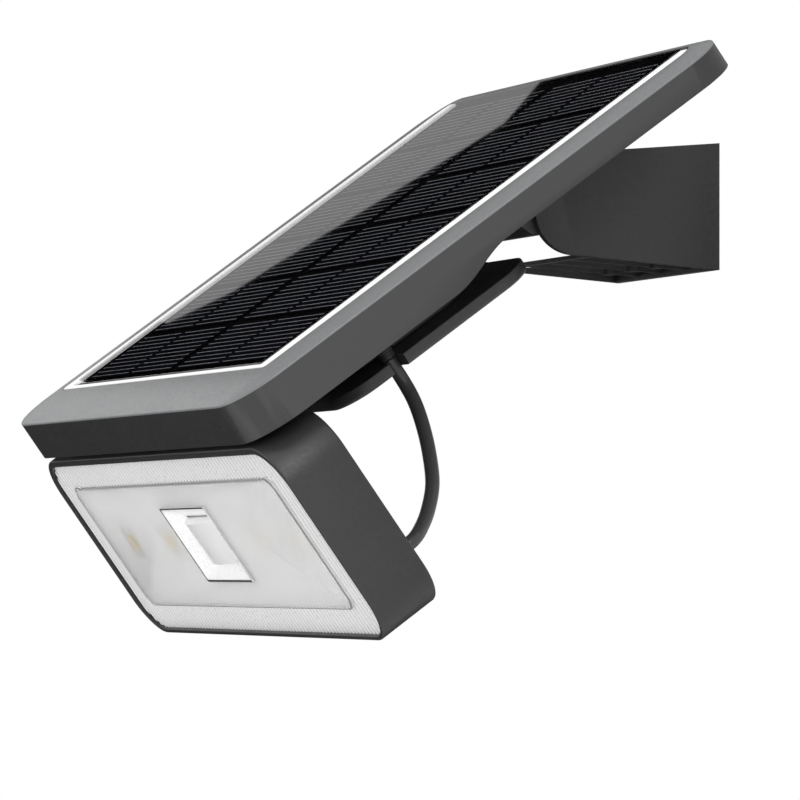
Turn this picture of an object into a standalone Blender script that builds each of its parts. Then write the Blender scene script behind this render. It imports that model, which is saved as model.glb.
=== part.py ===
"""Solar flood light: wall bracket, hinged solar panel and a lamp docked under the panel's lower end.

World frame in metres: +X along the width, +Y into the wall, +Z up, origin on the wall face of the
bracket.  Panel pieces are drawn in the panel's own axes (x along the width, u up the slope, n out of
the solar face, zero at the middle of the face's rim) and hang from an empty on the tilt hinge's axis.
All the numbers below are millimetres; MM turns them into metres.
"""
import math

import bmesh
import bpy
from mathutils import Vector

MM = 0.001
GAP = 0.3

# Wall bracket, in world y and z.
BRACKET_HALF_WIDTH = 41.0
BRACKET_WALL = 3.0
BRACKET_TOP = 20.8
BRACKET_BOTTOM = -20.7
BRACKET_SHOULDER = (-40.0, 17.2)
HINGE_AXIS = (-50.8, -2.7)
NOSE_RADIUS = 14.3
SILL_Y = (-46.8, -44.3)
SILL_TOP = -16.2
SILL_THICKNESS = 1.3
LUG_RADIUS = 6.6
RAIL_TOP = (-14.6, -16.3)
WINDOW_BACK = -17.0
WINDOW_TOP = 12.5
WINDOW_CORNER = 3.5
RIB_SPACING = 19.0
RIB_THICKNESS = 2.4
POST_RADIUS = 2.6
POST_Y = -13.0
WALL_HOLE_RADIUS = 2.4
WALL_HOLE_X = 29.0
WALL_HOLE_Z = 11.0

# Tilt hinge.
TILT_DEGREES = 35.9
HINGE_IN_PANEL = (55.2, -29.47)
PIN_RADIUS = 3.0
KNUCKLE_RADIUS = 6.0
KNUCKLE_HALF_WIDTH = 34.0
BLOCK_HALF_WIDTH = 37.5
BLOCK_FRONT_U = 32.0
BLOCK_VERTEX = (39.4, -27.9)
BLOCK_FLANGE_U = 76.0
BLOCK_FLANGE = 3.0
WASHER_RADIUS = 5.6

# Panel, in panel x, u and n.
PANEL_HALF_WIDTH = 117.0
PANEL_HALF_LENGTH = 100.0
PANEL_CORNER = 18.0
PANEL_UPPER_CORNER = 17.0
PANEL_WALL = 2.2
THICK_UNDERSIDE = -14.0
THIN_UNDERSIDE = -9.0
FLOOR = 2.0
STEP_START = -22.0
STEP_END = 2.0
BEZEL_EDGE = 0.6
BEZEL_RISE = 1.4
BEZEL_SIDE = 15.0
BEZEL_LOWER_U = -81.4
BEZEL_UPPER_U = 95.0
BEZEL_UPPER_CORNER = 7.0
FACET_U = -91.0
FACET_N = 0.9
FACET_CORNERS = (7.0, 11.0)
BORDER_SIDE_INNER = 95.3
BORDER_LOWER_U = -79.2
BORDER_UPPER_U = 93.8
GLASS_TOP = 1.8
GLASS_THICKNESS = 0.5
CELL_ROWS = 6
CELL_ROW_PITCH = 27.55
CELL_ROW_HEIGHT = 24.9
CELL_FIRST_U = 87.6
CELL_INNER_X = 3.7
CELL_OUTER_X = 88.6

# Cable winder under the panel.
CORE_HALF_WIDTH = 26.0
CORE_U = (-34.0, 17.0)
FLANGE_HALF_WIDTH = 44.0
FLANGE_U = (-48.0, 33.4)
FLANGE_N = (-36.2, -32.0)
FLANGE_CORNER = 14.0
NOTCH_HALF_WIDTH = 3.0
NOTCH_DEPTH = 6.0

# Cable, from the boot under the panel to the gland on the back of the lamp.
CABLE_RADIUS = 2.3
BOOT_X = 38.0
BOOT_U = -25.0
BOOT_END = -31.6
GLAND_X = 78.0
GLAND_N = -74.5
GLAND_LENGTH = 4.5

# Lamp, in panel x, u and n.
LAMP_HALF_WIDTH = 114.5
LAMP_TOP = -16.0
LAMP_BOTTOM = -87.7
LAMP_FRONT = -99.1
LAMP_BACK = -77.5
LAMP_CORNER = 14.0
LAMP_WALL = 1.4
LAMP_EDGE = 0.5
LENS_FRONT = -98.8
LENS_THICKNESS = 2.0
REFLECTOR_U = (-96.3, -93.6)
BOARD_U = (-93.2, -91.6)
SENSOR_HALF_WIDTH = 21.6
SENSOR_N = (-65.8, -37.1)
WELL_SLOPE = 5.6
WELL_FLOOR = -94.2
ARCH_HEIGHT = 4.6
ARCH_WALL = 0.9
LED_X = (-78.7, -42.5, 42.5, 78.7)
LED_N = -51.6
LED_HALF = 2.6
FOOT_BASE = 56.0
FOOT_TOP = 44.0
FOOT_U = (-94.0, -80.0)
FOOT_N = (-15.7, -7.6)
DOCK_CLEARANCE = 0.6
BUTTON_X = -60.0
BUTTON_N = -52.0
BUTTON_RADIUS = 5.0


# ---------------------------------------------------------------- helpers

def clear_scene():
    for item in list(bpy.data.objects):
        bpy.data.objects.remove(item, do_unlink=True)


def make_material(name, colour, roughness, metallic=0.0, transmission=0.0):
    material = bpy.data.materials.new(name)
    material.use_nodes = True
    shader = material.node_tree.nodes["Principled BSDF"]
    shader.inputs["Base Color"].default_value = (*colour, 1.0)
    shader.inputs["Roughness"].default_value = roughness
    shader.inputs["Metallic"].default_value = metallic
    shader.inputs["Transmission Weight"].default_value = transmission
    material.diffuse_color = (*colour, 1.0)
    return material


def make_empty(name, location, tilt=0.0, parent=None):
    empty = bpy.data.objects.new(name, None)
    empty.location = Vector(location) * MM
    empty.rotation_euler = (math.radians(tilt), 0.0, 0.0)
    empty.parent = parent
    bpy.context.scene.collection.objects.link(empty)
    return empty


def finish_mesh(bm, name, material, place):
    """Turn a bmesh drawn in millimetres into an object that hangs from place = (empty, offset)."""
    bmesh.ops.recalc_face_normals(bm, faces=bm.faces)
    bmesh.ops.scale(bm, vec=(MM, MM, MM), verts=bm.verts)
    mesh = bpy.data.meshes.new(name)
    bm.to_mesh(mesh)
    bm.free()
    item = bpy.data.objects.new(name, mesh)
    if material is not None:
        mesh.materials.append(material)
    parent, offset = place
    item.parent = parent
    item.location = Vector(offset) * MM
    bpy.context.scene.collection.objects.link(item)
    return item


def arc(centre, radius, start, end, steps):
    """Points of an arc from start to end degrees, counter-clockwise when end is larger."""
    points = []
    for index in range(steps + 1):
        angle = math.radians(start + (end - start) * index / steps)
        points.append((centre[0] + radius * math.cos(angle), centre[1] + radius * math.sin(angle)))
    return points


def rounded_rectangle(x0, x1, y0, y1, radius, steps=6, upper=None):
    """Counter-clockwise outline from the lower right corner; the upper corners may have their own radius."""
    upper = radius if upper is None else upper
    points = arc((x1 - radius, y0 + radius), radius, -90, 0, steps)
    points += arc((x1 - upper, y1 - upper), upper, 0, 90, steps)
    points += arc((x0 + upper, y1 - upper), upper, 90, 180, steps)
    points += arc((x0 + radius, y0 + radius), radius, 180, 270, steps)
    return points


def loft(sections, closed=False):
    """Skin equal-length outlines of (x, y, z) points; closed joins the last outline to the first."""
    bm = bmesh.new()
    loops = [[bm.verts.new(point) for point in section] for section in sections]
    pairs = list(zip(loops, loops[1:]))
    if closed:
        pairs.append((loops[-1], loops[0]))
    count = len(loops[0])
    for lower, upper in pairs:
        for index in range(count):
            after = (index + 1) % count
            bm.faces.new((lower[index], lower[after], upper[after], upper[index]))
    if not closed:
        bm.faces.new(loops[0])
        bm.faces.new(loops[-1])
    return bm


def lift(outline, axis, height):
    """Stand a flat outline at a height: axis 'x' takes (y, z) points, 'y' takes (x, z), 'z' takes (x, y)."""
    if axis == "x":
        return [(height, a, b) for a, b in outline]
    if axis == "y":
        return [(a, height, b) for a, b in outline]
    return [(a, b, height) for a, b in outline]


def prism(outline, axis, start, end):
    return loft([lift(outline, axis, start), lift(outline, axis, end)])


def box(x, y, z):
    return prism([(x[0], y[0]), (x[1], y[0]), (x[1], y[1]), (x[0], y[1])], "z", z[0], z[1])


def rod(axis, centre, radius, start, end, steps=24):
    """Round rod along an axis; centre is in the other two coordinates, in x, y, z order."""
    return prism(arc(centre, radius, 0, 360 - 360 / steps, steps - 1), axis, start, end)


def turned(axis, centre, profile, steps=24):
    """Stack of rings along an axis from (position, radius) pairs."""
    sections = []
    for position, radius in profile:
        sections.append(lift(arc(centre, radius, 0, 360 - 360 / steps, steps - 1), axis, position))
    return loft(sections)


def combine(target, tool, operation, place):
    """Boolean a bmesh into an object, with the tool kept as a hidden cutter."""
    cutter = finish_mesh(tool, target.name + "_tool", None, place)
    cutter.hide_render = True
    cutter.display_type = "WIRE"
    modifier = target.modifiers.new(operation.lower(), "BOOLEAN")
    modifier.operation = operation
    modifier.object = cutter
    modifier.solver = "EXACT"
    return cutter


def shade_round(item):
    item.data.shade_smooth()
    item.data.set_sharp_from_angle(angle=math.radians(35))


# ---------------------------------------------------------------- materials

def make_materials():
    return {
        "body": make_material("charcoal_plastic", (0.055, 0.056, 0.058), 0.45),
        "bezel": make_material("grey_bezel_plastic", (0.23, 0.24, 0.25), 0.4),
        "border": make_material("white_border", (0.85, 0.85, 0.85), 0.4),
        "glass": make_material("solar_glass", (0.9, 0.9, 0.9), 0.05, transmission=1.0),
        "cell": make_material("silicon_cell", (0.01, 0.011, 0.016), 0.25),
        "steel": make_material("zinc_steel", (0.6, 0.6, 0.6), 0.35, metallic=1.0),
        "rubber": make_material("black_rubber", (0.03, 0.03, 0.03), 0.7),
        "lens": make_material("clear_lens", (0.9, 0.9, 0.9), 0.2, transmission=0.9),
        "reflector": make_material("white_reflector", (0.75, 0.75, 0.75), 0.35),
        "led": make_material("led_phosphor", (0.85, 0.72, 0.38), 0.4),
        "board": make_material("circuit_board", (0.9, 0.9, 0.88), 0.5),
        "battery": make_material("battery_wrap", (0.35, 0.4, 0.45), 0.3),
    }


# ---------------------------------------------------------------- wall bracket

def bracket_profile():
    """Side view: flat wall face, sloping top, a round nose about the hinge and a sloping bottom."""
    to_shoulder = Vector(BRACKET_SHOULDER) - Vector(HINGE_AXIS)
    tangent = math.degrees(math.atan2(to_shoulder.y, to_shoulder.x))
    tangent += math.degrees(math.acos(NOSE_RADIUS / to_shoulder.length))
    return [(0.0, BRACKET_BOTTOM), (0.0, BRACKET_TOP), BRACKET_SHOULDER] + arc(
        HINGE_AXIS, NOSE_RADIUS, tangent, 270, 24)


def side_opening():
    """Cut in the left cheek: a slim hinge lug in front, a bottom rail below and a window for a hand."""
    hinge_y, hinge_z = HINGE_AXIS
    low, high = RAIL_TOP
    corner = WINDOW_CORNER
    right = WINDOW_BACK - corner
    outline = [(-70, -30), (hinge_y, -30), (hinge_y, low), (-38, high), (right, high)]
    outline += arc((right, high + corner), corner, -90, 0, 4)
    outline += arc((right, WINDOW_TOP - corner), corner, 0, 90, 4)
    outline += arc((-36.5, WINDOW_TOP - corner), corner, 90, 180, 4)
    outline += arc(HINGE_AXIS, LUG_RADIUS, -10, -190, 16)
    outline += [(-45, BRACKET_TOP - 1), (-70, BRACKET_TOP + 5)]
    return outline


def make_bracket(place, material):
    outline = bracket_profile()
    inner = BRACKET_HALF_WIDTH - BRACKET_WALL
    bracket = finish_mesh(prism(outline, "x", inner, BRACKET_HALF_WIDTH), "wall_bracket", material, place)
    combine(bracket, prism(outline, "x", -BRACKET_HALF_WIDTH, -inner), "UNION", place)
    lap = inner + 0.5
    slope = (BRACKET_TOP - BRACKET_SHOULDER[1]) / -BRACKET_SHOULDER[0]
    top_front = BRACKET_SHOULDER[0] + 2
    front_z = BRACKET_TOP + slope * top_front
    top = [(top_front, front_z - BRACKET_WALL), (0, BRACKET_TOP - BRACKET_WALL), (0, BRACKET_TOP),
           (top_front, front_z)]
    combine(bracket, prism(top, "x", -lap, lap), "UNION", place)
    combine(bracket, box((-lap, lap), (-BRACKET_WALL, 0), (BRACKET_BOTTOM, BRACKET_TOP - 1)), "UNION", place)
    sill = [(SILL_Y[0], SILL_TOP - SILL_THICKNESS), (SILL_Y[1], SILL_TOP - SILL_THICKNESS),
            (SILL_Y[1], SILL_TOP), (SILL_Y[0], SILL_TOP)]
    combine(bracket, prism(sill, "x", -lap, lap), "UNION", place)
    rib_front = SILL_Y[0] + 1
    rib = [(rib_front, SILL_TOP - 1), (-1, BRACKET_BOTTOM + 1), (-1, SILL_TOP + 1.4),
           (rib_front, SILL_TOP - 0.1)]
    for column in (-1, 0, 1):
        middle = column * RIB_SPACING
        half = RIB_THICKNESS / 2
        combine(bracket, prism(rib, "x", middle - half, middle + half), "UNION", place)
        post = rod("z", (middle, POST_Y), POST_RADIUS, BRACKET_BOTTOM + 1.4, BRACKET_TOP - 3, 16)
        combine(bracket, post, "UNION", place)
    opening = prism(side_opening(), "x", -BRACKET_HALF_WIDTH - 2, -inner + 1)
    combine(bracket, opening, "DIFFERENCE", place)
    for side in (-1, 1):
        for level in (-1, 1):
            hole = rod("y", (side * WALL_HOLE_X, level * WALL_HOLE_Z), WALL_HOLE_RADIUS, -6, 3, 20)
            combine(bracket, hole, "DIFFERENCE", place)
        outer = side * (inner + 1.6)
        socket = rod("x", HINGE_AXIS, PIN_RADIUS + GAP / 2, side * (inner - 2), outer, 28)
        combine(bracket, socket, "DIFFERENCE", place)
    return bracket


def make_hinge_hardware(place, materials):
    length = BRACKET_HALF_WIDTH - BRACKET_WALL + 1.6 - GAP
    chamfer = 0.5
    profile = [(-length, PIN_RADIUS - chamfer), (-length + chamfer, PIN_RADIUS),
               (length - chamfer, PIN_RADIUS), (length, PIN_RADIUS - chamfer)]
    pin = finish_mesh(turned("x", HINGE_AXIS, profile, 28), "hinge_pin", materials["steel"], place)
    shade_round(pin)
    start = KNUCKLE_HALF_WIDTH + GAP
    end = BRACKET_HALF_WIDTH - BRACKET_WALL - GAP
    for side, label in ((-1, "left"), (1, "right")):
        limits = sorted((side * start, side * end))
        rings = [[(x, y, z) for y, z in arc(HINGE_AXIS, radius, 0, 345, 23)]
                 for x, radius in ((limits[0], PIN_RADIUS + GAP), (limits[0], WASHER_RADIUS),
                                   (limits[1], WASHER_RADIUS), (limits[1], PIN_RADIUS + GAP))]
        washer = finish_mesh(loft(rings, closed=True), "friction_washer_" + label, materials["rubber"], place)
        shade_round(washer)


# ---------------------------------------------------------------- panel

def make_hinge_block(place, material):
    """Wedge-fronted block with the hinge's knuckle under it and a screw flange behind it."""
    centre = HINGE_IN_PANEL
    top = THIN_UNDERSIDE - GAP
    back = centre[0] + KNUCKLE_RADIUS
    outline = [(BLOCK_FRONT_U, top), BLOCK_VERTEX, (centre[0] - KNUCKLE_RADIUS - 1, BLOCK_VERTEX[1])]
    outline += arc(centre, KNUCKLE_RADIUS, 180, 360, 20)
    outline += [(back, top - BLOCK_FLANGE), (BLOCK_FLANGE_U, top - BLOCK_FLANGE), (BLOCK_FLANGE_U, top)]
    body = prism(outline, "x", -BLOCK_HALF_WIDTH, BLOCK_HALF_WIDTH)
    block = finish_mesh(body, "hinge_block", material, place)
    bore = rod("x", centre, PIN_RADIUS + GAP / 2, -BLOCK_HALF_WIDTH - 2, BLOCK_HALF_WIDTH + 2, 28)
    combine(block, bore, "DIFFERENCE", place)
    for side in (-1, 1):
        pocket = sorted((side * KNUCKLE_HALF_WIDTH, side * (BLOCK_HALF_WIDTH + 2)))
        tool = rod("x", centre, WASHER_RADIUS + GAP, pocket[0], pocket[1], 32)
        combine(block, tool, "DIFFERENCE", place)
    return block


def step_outline(offset, far):
    """Underside of the panel from the thick lower part to the thin upper part, closed well below it."""
    thick = THICK_UNDERSIDE + offset
    thin = THIN_UNDERSIDE + offset
    points = [(STEP_START, far), (STEP_START, thick)]
    steps = 14
    for index in range(1, steps + 1):
        part = index / steps
        smooth = part * part * (3 - 2 * part)
        points.append((STEP_START + (STEP_END - STEP_START) * part, thick + (thin - thick) * smooth))
    return points + [(PANEL_HALF_LENGTH + 5, thin), (PANEL_HALF_LENGTH + 5, far)]


def make_housing(place, material):
    half = PANEL_HALF_WIDTH
    plan = rounded_rectangle(-half, half, -PANEL_HALF_LENGTH, PANEL_HALF_LENGTH, PANEL_CORNER, 10,
                             PANEL_UPPER_CORNER)
    top = -BEZEL_EDGE - GAP
    housing = finish_mesh(prism(plan, "z", THICK_UNDERSIDE, top), "panel_housing", material, place)
    combine(housing, prism(step_outline(0, -30), "x", -half - 5, half + 5), "DIFFERENCE", place)
    wall = PANEL_WALL
    radius = PANEL_CORNER - wall
    inner = half - wall
    end = PANEL_HALF_LENGTH - wall
    deep = rounded_rectangle(-inner, inner, -end, STEP_START - 1, radius, 8)
    combine(housing, prism(deep, "z", THICK_UNDERSIDE + FLOOR, 2), "DIFFERENCE", place)
    shallow = rounded_rectangle(-inner, inner, -60, end, radius, 8)
    combine(housing, prism(shallow, "z", THIN_UNDERSIDE + FLOOR, 2), "DIFFERENCE", place)
    make_dock(housing, place)
    boot_hole = rod("z", (BOOT_X, BOOT_U), 2.6, THICK_UNDERSIDE - 2, THICK_UNDERSIDE + FLOOR + 2, 20)
    combine(housing, boot_hole, "DIFFERENCE", place)
    for x, u in housing_screw_places():
        hole = rod("z", (x, u), 1.8, THICK_UNDERSIDE - 2, THIN_UNDERSIDE + FLOOR + 1, 16)
        combine(housing, hole, "DIFFERENCE", place)
    return housing


def make_dock(housing, place):
    """Pocket in the thick part's underside that takes the lamp's tapered foot."""
    roof = FOOT_N[1] + DOCK_CLEARANCE + 1.8
    boss = box((-FOOT_BASE - 3.5, FOOT_BASE + 3.5), (FOOT_U[0] - 2.6, FOOT_U[1] + 2.6),
               (THICK_UNDERSIDE + 1, roof))
    combine(housing, boss, "UNION", place)
    taper = (FOOT_BASE - FOOT_TOP) / (FOOT_N[1] - FOOT_N[0])
    mouth = THICK_UNDERSIDE - 1
    ceiling = FOOT_N[1] + DOCK_CLEARANCE
    wide = FOOT_BASE + DOCK_CLEARANCE - taper * (mouth - FOOT_N[0])
    narrow = FOOT_TOP + DOCK_CLEARANCE
    pocket = [(-wide, mouth), (wide, mouth), (narrow, ceiling), (-narrow, ceiling)]
    limits = (FOOT_U[0] - DOCK_CLEARANCE, FOOT_U[1] + DOCK_CLEARANCE)
    combine(housing, prism(pocket, "y", *limits), "DIFFERENCE", place)


def housing_screw_places():
    return [(side * 98.0, u) for side in (-1, 1) for u in (-66.0, 84.0)]


def make_housing_screws(place, material):
    for number, (x, u) in enumerate(housing_screw_places(), 1):
        under = THICK_UNDERSIDE if u < 0 else THIN_UNDERSIDE
        seat = under - GAP
        profile = [(seat - 1.6, 2.2), (seat - 1.0, 3.0), (seat, 3.0), (seat, 1.4), (under + FLOOR + 1.5, 1.4)]
        screw = finish_mesh(turned("z", (x, u), profile, 16), f"housing_screw_{number}", material, place)
        shade_round(screw)


def make_bezel(place, material):
    """Frame ring: a thin outer edge, one slope on the long sides and two facets at the lower end."""
    half = PANEL_HALF_WIDTH
    length = PANEL_HALF_LENGTH
    inner = half - BEZEL_SIDE
    middle = half - BEZEL_SIDE / 2

    def ring(x, lower, upper, corners, height):
        outline = rounded_rectangle(-x, x, lower, upper, corners[0], 8, corners[1])
        return [(a, b, height) for a, b in outline]

    outer_corners = (PANEL_CORNER, PANEL_UPPER_CORNER)
    inner_corners = (2.0, BEZEL_UPPER_CORNER)
    sections = [
        ring(half, -length, length, outer_corners, -BEZEL_EDGE),
        ring(half, -length, length, outer_corners, 0.0),
        ring(middle, FACET_U, (length + BEZEL_UPPER_U) / 2, FACET_CORNERS, FACET_N),
        ring(inner, BEZEL_LOWER_U, BEZEL_UPPER_U, inner_corners, BEZEL_RISE),
        ring(inner, BEZEL_LOWER_U, BEZEL_UPPER_U, inner_corners, -BEZEL_EDGE),
    ]
    return finish_mesh(loft(sections, closed=True), "panel_bezel", material, place)


def make_border(place, material):
    outer = PANEL_HALF_WIDTH - BEZEL_SIDE - GAP
    low = BEZEL_LOWER_U + GAP
    high = BEZEL_UPPER_U - GAP

    def ring(x, lower, upper, corners, height):
        outline = rounded_rectangle(-x, x, lower, upper, corners[0], 4, corners[1])
        return [(a, b, height) for a, b in outline]

    inside = (BORDER_SIDE_INNER, BORDER_LOWER_U, BORDER_UPPER_U, (0.4, 0.4))
    bottom = -BEZEL_EDGE
    corners = (1.7, BEZEL_UPPER_CORNER - GAP)
    sections = [ring(outer, low, high, corners, bottom), ring(outer, low, high, corners, BEZEL_RISE),
                ring(*inside, BEZEL_RISE), ring(*inside, bottom)]
    return finish_mesh(loft(sections, closed=True), "white_border", material, place)


def make_laminate(place, materials):
    x = BORDER_SIDE_INNER - GAP
    u = (BORDER_LOWER_U + GAP, BORDER_UPPER_U - GAP)
    finish_mesh(box((-x, x), u, (-BEZEL_EDGE, 0.5)), "backsheet", materials["cell"], place)
    finish_mesh(box((-x, x), u, (GLASS_TOP - GLASS_THICKNESS, GLASS_TOP)), "cover_glass", materials["glass"],
                place)
    for row in range(CELL_ROWS):
        upper = CELL_FIRST_U - row * CELL_ROW_PITCH
        for side, label in ((-1, "left"), (1, "right")):
            span = sorted((side * CELL_INNER_X, side * CELL_OUTER_X))
            cell = box(span, (upper - CELL_ROW_HEIGHT, upper), (0.75, 1.0))
            finish_mesh(cell, f"solar_cell_{label}_{row + 1}", materials["cell"], place)


def make_panel_inside(place, materials):
    low = THICK_UNDERSIDE + FLOOR + GAP
    battery = prism(rounded_rectangle(-66, 34, -72, -26, 3, 4), "z", low, low + 8)
    finish_mesh(battery, "battery_pack", materials["battery"], place)
    board = box((52, 92), (-68, -40), (low + 1.5, low + 3.1))
    finish_mesh(board, "charge_board", materials["board"], place)
    plug = box((56, 68), (-64, -58), (low + 3.4, low + 7.5))
    finish_mesh(plug, "battery_plug", materials["reflector"], place)


# ---------------------------------------------------------------- cable winder and cable

def make_winder(place, materials):
    top = FLANGE_N[1] + GAP
    core_plan = rounded_rectangle(-CORE_HALF_WIDTH, CORE_HALF_WIDTH, CORE_U[0], CORE_U[1], 12, 6)
    core = prism(core_plan, "z", top, THICK_UNDERSIDE - GAP)
    core_item = finish_mesh(core, "winder_core", materials["body"], place)
    clearance = prism(step_outline(-GAP, 0), "x", -60, 60)
    combine(core_item, clearance, "DIFFERENCE", place)
    plans = []
    for inset, height in ((1.2, FLANGE_N[0]), (0.0, FLANGE_N[0] + 1.2), (0.0, FLANGE_N[1])):
        half = FLANGE_HALF_WIDTH - inset
        outline = rounded_rectangle(-half, half, FLANGE_U[0] + inset, FLANGE_U[1] - inset,
                                    FLANGE_CORNER - inset, 10)
        plans.append(lift(outline, "z", height))
    flange = finish_mesh(loft(plans), "winder_flange", materials["body"], place)
    notch_start = FLANGE_HALF_WIDTH - NOTCH_DEPTH
    notch = arc((notch_start, BOOT_U), NOTCH_HALF_WIDTH, 90, 270, 10)
    outside = FLANGE_HALF_WIDTH + 4
    notch += [(outside, BOOT_U - NOTCH_HALF_WIDTH), (outside, BOOT_U + NOTCH_HALF_WIDTH)]
    combine(flange, prism(notch, "z", FLANGE_N[0] - 2, FLANGE_N[1] + 2), "DIFFERENCE", place)
    for x in (-12, 12):
        hole = rod("z", (x, -8.5), 1.8, FLANGE_N[0] - 2, FLANGE_N[1] + 2, 16)
        combine(flange, hole, "DIFFERENCE", place)
        bore = rod("z", (x, -8.5), 1.8, FLANGE_N[1] - 2, FLANGE_N[1] + 8, 16)
        combine(core_item, bore, "DIFFERENCE", place)
    for number, x in enumerate((-12, 12), 1):
        seat = FLANGE_N[0] - GAP
        profile = [(seat - 1.6, 2.2), (seat - 1.0, 3.0), (seat, 3.0), (seat, 1.4), (FLANGE_N[1] + 6, 1.4)]
        screw = finish_mesh(turned("z", (x, -8.5), profile, 16), f"winder_screw_{number}", materials["steel"],
                            place)
        shade_round(screw)


def make_boot(place, material):
    start = THICK_UNDERSIDE - GAP
    profile = [(start, 4.6), (start - 2.0, 4.6), (start - 2.8, 3.7)]
    profile += [(BOOT_END + 1.0, 3.1), (BOOT_END, 2.7)]
    boot = finish_mesh(turned("z", (BOOT_X, BOOT_U), profile, 24), "cable_boot", material, place)
    shade_round(boot)
    return boot


def cable_route():
    """Straight out of the boot, an open bow and straight into the lamp's gland."""
    gland_end = LAMP_BACK + GLAND_LENGTH
    return [
        (BOOT_X, BOOT_U, BOOT_END - GAP),
        (BOOT_X, BOOT_U, BOOT_END - 8.4),
        (41.4, -26.9, -47.4),
        (46.8, -31.1, -54.8),
        (53.2, -36.7, -61.8),
        (60.0, -43.4, -68.1),
        (66.5, -51.4, -72.3),
        (72.8, -58.8, -74.2),
        (GLAND_X, gland_end + 7.9, GLAND_N),
        (GLAND_X, gland_end + GAP, GLAND_N),
    ]


def smooth_points(route, spacing):
    """Even points on a Catmull-Rom curve through the route."""
    fine = []
    ends = [route[0]] + list(route) + [route[-1]]
    for a, b, c, d in zip(ends, ends[1:], ends[2:], ends[3:]):
        a, b, c, d = (Vector(point) for point in (a, b, c, d))
        for index in range(20):
            t = index / 20
            fine.append(0.5 * (2 * b + (c - a) * t + (2 * a - 5 * b + 4 * c - d) * t * t
                               + (3 * b - a - 3 * c + d) * t ** 3))
    fine.append(Vector(route[-1]))
    total = sum((q - p).length for p, q in zip(fine, fine[1:]))
    count = max(2, round(total / spacing))
    result = [fine[0]]
    walked = 0.0
    for p, q in zip(fine, fine[1:]):
        step = (q - p).length
        while len(result) < count and walked + step >= total * len(result) / count:
            part = (total * len(result) / count - walked) / step
            result.append(p.lerp(q, part))
        walked += step
    result.append(fine[-1])
    return result


def make_cable(place, material):
    curve = bpy.data.curves.new("lamp_cable", "CURVE")
    curve.dimensions = "3D"
    curve.bevel_depth = CABLE_RADIUS * MM
    curve.bevel_resolution = 3
    curve.use_fill_caps = True
    diameter = 2 * CABLE_RADIUS
    points = smooth_points(cable_route(), 2 * diameter)
    spline = curve.splines.new("POLY")
    spline.points.add(len(points) - 1)
    for target, point in zip(spline.points, points):
        target.co = (*(point * MM), 1.0)
    curve.materials.append(material)
    cable = bpy.data.objects.new("lamp_cable", curve)
    parent, offset = place
    cable.parent = parent
    cable.location = Vector(offset) * MM
    bpy.context.scene.collection.objects.link(cable)
    return cable


# ---------------------------------------------------------------- lamp

def lamp_outline(inset, steps=8):
    return rounded_rectangle(-LAMP_HALF_WIDTH + inset, LAMP_HALF_WIDTH - inset, LAMP_BOTTOM + inset,
                             LAMP_TOP - inset, LAMP_CORNER - inset, steps)


def make_lamp_housing(place, material):
    edge = LAMP_EDGE
    rings = ((edge, LAMP_FRONT), (0, LAMP_FRONT + edge), (0, LAMP_BACK - edge), (edge, LAMP_BACK))
    sections = []
    for inset, u in rings:
        sections.append([(x, u, n) for x, n in lamp_outline(inset)])
    housing = finish_mesh(loft(sections), "lamp_housing", material, place)
    cavity = prism(lamp_outline(LAMP_WALL), "y", LAMP_FRONT - 2, LAMP_BACK - LAMP_WALL)
    combine(housing, cavity, "DIFFERENCE", place)
    button_hole = rod("y", (BUTTON_X, BUTTON_N), BUTTON_RADIUS + GAP, LAMP_BACK - 5, LAMP_BACK + 2, 24)
    combine(housing, button_hole, "DIFFERENCE", place)
    return housing


def make_lamp_foot(place, material):
    taper = [(-FOOT_BASE, FOOT_N[0]), (FOOT_BASE, FOOT_N[0]), (FOOT_TOP, FOOT_N[1]), (-FOOT_TOP, FOOT_N[1])]
    return finish_mesh(prism(taper, "y", *FOOT_U), "lamp_foot", material, place)


def make_lamp_glass(place, materials):
    back = LENS_FRONT + LENS_THICKNESS
    lens = finish_mesh(prism(lamp_outline(LAMP_WALL + GAP), "y", LENS_FRONT, back), "lamp_lens",
                       materials["lens"], place)
    window = box((-SENSOR_HALF_WIDTH, SENSOR_HALF_WIDTH), (LENS_FRONT - 1, back + 1), SENSOR_N)
    combine(lens, window, "DIFFERENCE", place)
    seal_start = back + GAP
    rings = []
    for inset, u in ((LAMP_WALL + GAP, seal_start), (LAMP_WALL + GAP, seal_start + 1.5),
                     (LAMP_WALL + 3, seal_start + 1.5), (LAMP_WALL + 3, seal_start)):
        rings.append([(x, u, n) for x, n in lamp_outline(inset)])
    finish_mesh(loft(rings, closed=True), "lens_seal", materials["rubber"], place)


def make_reflector(place, material):
    """White plate with a tapered pocket round each LED and an opening for the motion sensor."""
    front, back = REFLECTOR_U
    plate = finish_mesh(prism(lamp_outline(6.2), "y", front, back), "reflector_tray", material, place)
    for x in LED_X:
        sections = []
        for half_x, half_n, u in ((16.5, 19.0, front - 0.6), (4.5, 4.5, back + 0.6)):
            corners = rounded_rectangle(x - half_x, x + half_x, LED_N - half_n, LED_N + half_n, 2, 3)
            sections.append([(a, u, b) for a, b in corners])
        combine(plate, loft(sections), "DIFFERENCE", place)
    window = box((-SENSOR_HALF_WIDTH, SENSOR_HALF_WIDTH), (front - 1, back + 1), SENSOR_N)
    combine(plate, window, "DIFFERENCE", place)
    return plate


def make_light_parts(place, materials):
    board_front = BOARD_U[0]
    half = LAMP_HALF_WIDTH - 8
    board = box((-half, half), BOARD_U, (LAMP_BOTTOM + 12, LAMP_TOP - 12))
    finish_mesh(board, "led_board", materials["board"], place)
    for number, x in enumerate(LED_X, 1):
        depth = (board_front - GAP - 1.2, board_front - GAP)
        chip = box((x - LED_HALF, x + LED_HALF), depth, (LED_N - LED_HALF, LED_N + LED_HALF))
        finish_mesh(chip, f"led_{number}", materials["led"], place)


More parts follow.
